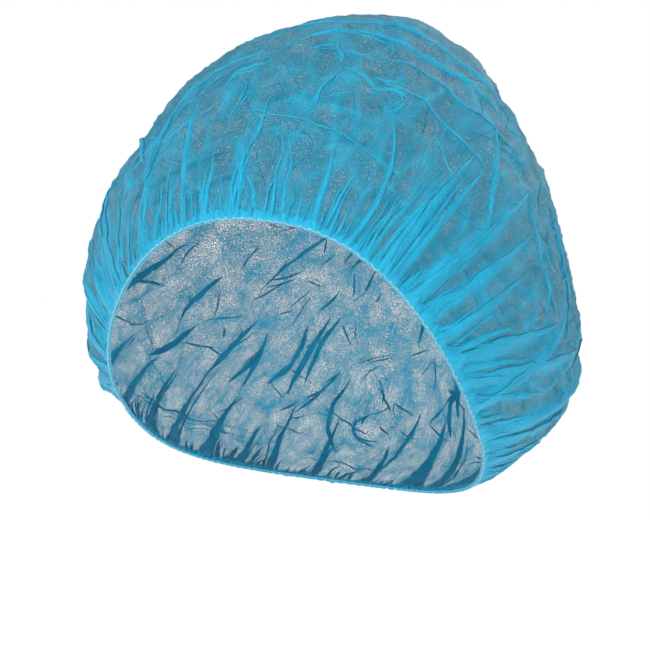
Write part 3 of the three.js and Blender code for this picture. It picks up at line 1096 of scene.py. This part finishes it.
# %% Stitches on the rim
fine = np.linspace(0, 2 * math.pi, 4001)
rim_run = np.concatenate([[0], np.cumsum(np.linalg.norm(np.diff(opening_edge(fine), axis=0), axis=-1))])
stitch_count = round(rim_run[-1] / STITCH_PITCH)
stitch_angles = np.interp(np.arange(stitch_count) * rim_run[-1] / stitch_count, rim_run, fine)
around, along, _ = slopes(stitch_angles, np.zeros(stitch_count))
onward = around / np.linalg.norm(around, axis=-1)[:, None]
uphill = along / np.linalg.norm(along, axis=-1)[:, None]
outward = np.cross(onward, uphill)
jitter = dice.normal(0, 0.12, stitch_count)
stitch_points = (opening_edge(stitch_angles) + outward * 0.55 + uphill * jitter[:, None]) * MM

holder_mesh = bpy.data.meshes.new("overlock_stitches")
holder_mesh.from_pydata(stitch_points.tolist(), [], [])
for name, values in (("outward", outward), ("onward", onward)):
    layer = holder_mesh.attributes.new(name, "FLOAT_VECTOR", "POINT")
    layer.data.foreach_set("vector", values.astype(np.float32).ravel())
holder = bpy.data.objects.new("stitch_points", holder_mesh)
bpy.context.scene.collection.objects.link(holder)
modifier = holder.modifiers.new("overlock", "NODES")
modifier.node_group = stitch_tree()
pitch_input = modifier.node_group.interface.items_tree["Pitch"].identifier
modifier[pitch_input] = rim_run[-1] / stitch_count * MM
evaluated = holder.evaluated_get(bpy.context.evaluated_depsgraph_get())
stitch_mesh = bpy.data.meshes.new_from_object(evaluated)
stitches = bpy.data.objects.new("overlock_stitches", stitch_mesh)
bpy.context.scene.collection.objects.link(stitches)
bpy.data.objects.remove(holder)
stitch_mesh.shade_smooth()
print("stitches", stitch_count, "faces", len(stitch_mesh.polygons))
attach(stitches, "root")

# %% [markdown]
# The cap was cut as one flat disc. Its diameter, which also sets the cloth's flat coordinates, is printed
# here.

# %% Flat size of the cloth
print("flat disc", FLAT_DIAMETER, "m across")

# %% [markdown]
# ## Floor and light
# A wide pale floor lies well below the cap, which is held up by its opening.
# The floor glows a little, so that it meets the white sky without an edge.

# %% Stage
FLOOR_DROP = 0.10
FLOOR_HALF = 2.5
floor_z = cad_box[0][2] - FLOOR_DROP
floor_mesh = bpy.data.meshes.new("floor")
corners = [(-1, -1), (1, -1), (1, 1), (-1, 1)]
floor_mesh.from_pydata([(x * FLOOR_HALF, y * FLOOR_HALF, floor_z) for x, y in corners], [], [(0, 1, 2, 3)])
floor = bpy.data.objects.new("floor", floor_mesh)
bpy.context.scene.collection.objects.link(floor)
floor_finish = Finish("pale_floor")
pale = floor_finish.node("ShaderNodeBsdfPrincipled", "BSDF", Base_Color=(0.4, 0.4, 0.4, 1), Roughness=0.8)
pale.socket.node.inputs["Emission Color"].default_value = (1, 1, 1, 1)
pale.socket.node.inputs["Emission Strength"].default_value = 0.9
floor_mesh.materials.append(floor_finish.done(pale))
print("floor at", round(floor_z, 3), "m")

# %% [markdown]
# The camera sees the sky as white, while the cloth gets only a soft share of its light.
# The key stands high, the low light reaches in through the opening, and the rim light
# shines through the cloth from behind.

# %% Sky and lights
SKY_SEEN, SKY_LIGHT = 1.0, 0.28
world = bpy.data.worlds.new("studio")
world.use_nodes = True
sky = world.node_tree.nodes["Background"]
sky.inputs["Color"].default_value = (1, 1, 1, 1)
seen = world.node_tree.nodes.new("ShaderNodeLightPath")
strength = Channel(world.node_tree, seen.outputs["Is Camera Ray"]) * (SKY_SEEN - SKY_LIGHT) + SKY_LIGHT
feed(world.node_tree, sky.inputs["Strength"], strength)
bpy.context.scene.world = world

# Name, place in metres, power in watts and width in metres.
LIGHTS = [
    ("key", (-0.6, -1.5, 1.1), 24, 0.6),
    ("fill", (1.5, -1.1, 0.3), 11, 1.2),
    ("low", (0.2, -1.7, 0.0), 9, 0.7),
    ("rim", (0.6, 1.5, 1.2), 13, 0.9),
]
for name, spot, power, width in LIGHTS:
    lamp = bpy.data.lights.new(name, "AREA")
    lamp.energy = power
    lamp.size = width
    holder = bpy.data.objects.new(name, lamp)
    holder.location = spot
    holder.rotation_euler = (Vector(spot) - AIM).to_track_quat("Z", "Y").to_euler()
    bpy.context.scene.collection.objects.link(holder)

scene = bpy.context.scene
scene.view_settings.view_transform = "Standard"
scene.cycles.transparent_max_bounces = 32
print("lights", [name for name, *_ in LIGHTS])
